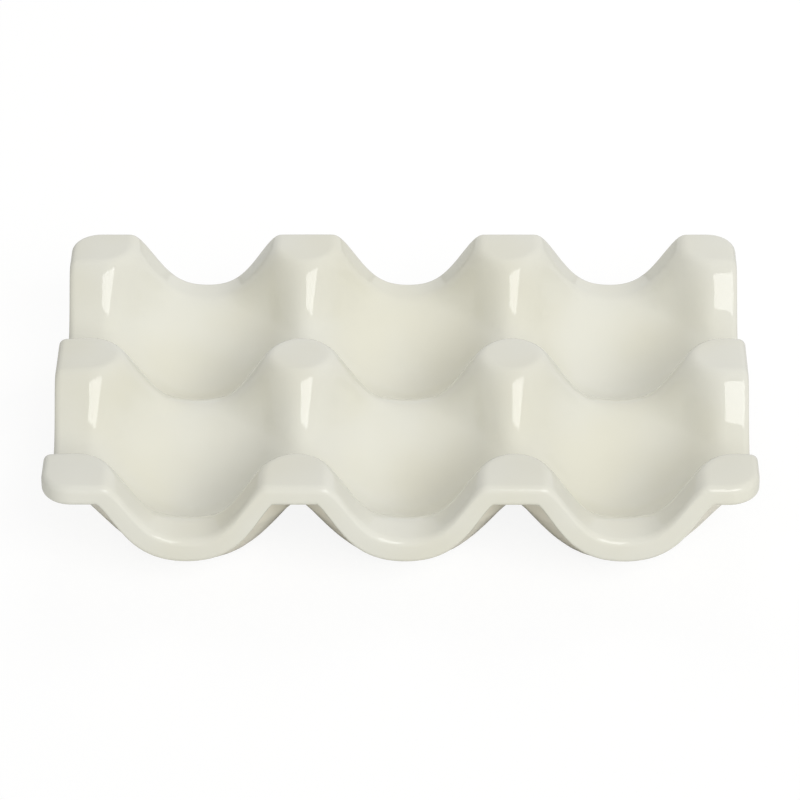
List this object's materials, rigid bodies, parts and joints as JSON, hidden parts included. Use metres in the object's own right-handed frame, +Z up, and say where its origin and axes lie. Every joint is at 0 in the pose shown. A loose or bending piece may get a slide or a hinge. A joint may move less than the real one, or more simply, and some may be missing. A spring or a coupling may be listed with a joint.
{
  "type": "egg tray",
  "caption": "Wavy ceramic egg tray: a grid of round cups with flat peaks where they meet, a rounded rectangular lip and a low bare foot ring under each cup.",
  "frame": {"origin": "middle of the outline's box, at the level of the foot rings' undersides", "axes": "+X to the right along the long side, +Y to the back, +Z up"},
  "size_m": [0.1602, 0.112, 0.032],
  "materials": {
    "glaze": "gloss ivory glaze over stoneware",
    "bare_clay": "bare, matt, fired clay"
  },
  "bodies": {
    "root": {"tray": "glaze", "foot_front_left": "bare_clay", "foot_front_middle": "bare_clay", "foot_front_right": "bare_clay", "foot_back_left": "bare_clay", "foot_back_middle": "bare_clay", "foot_back_right": "bare_clay"}
  },
  "joints": []
}
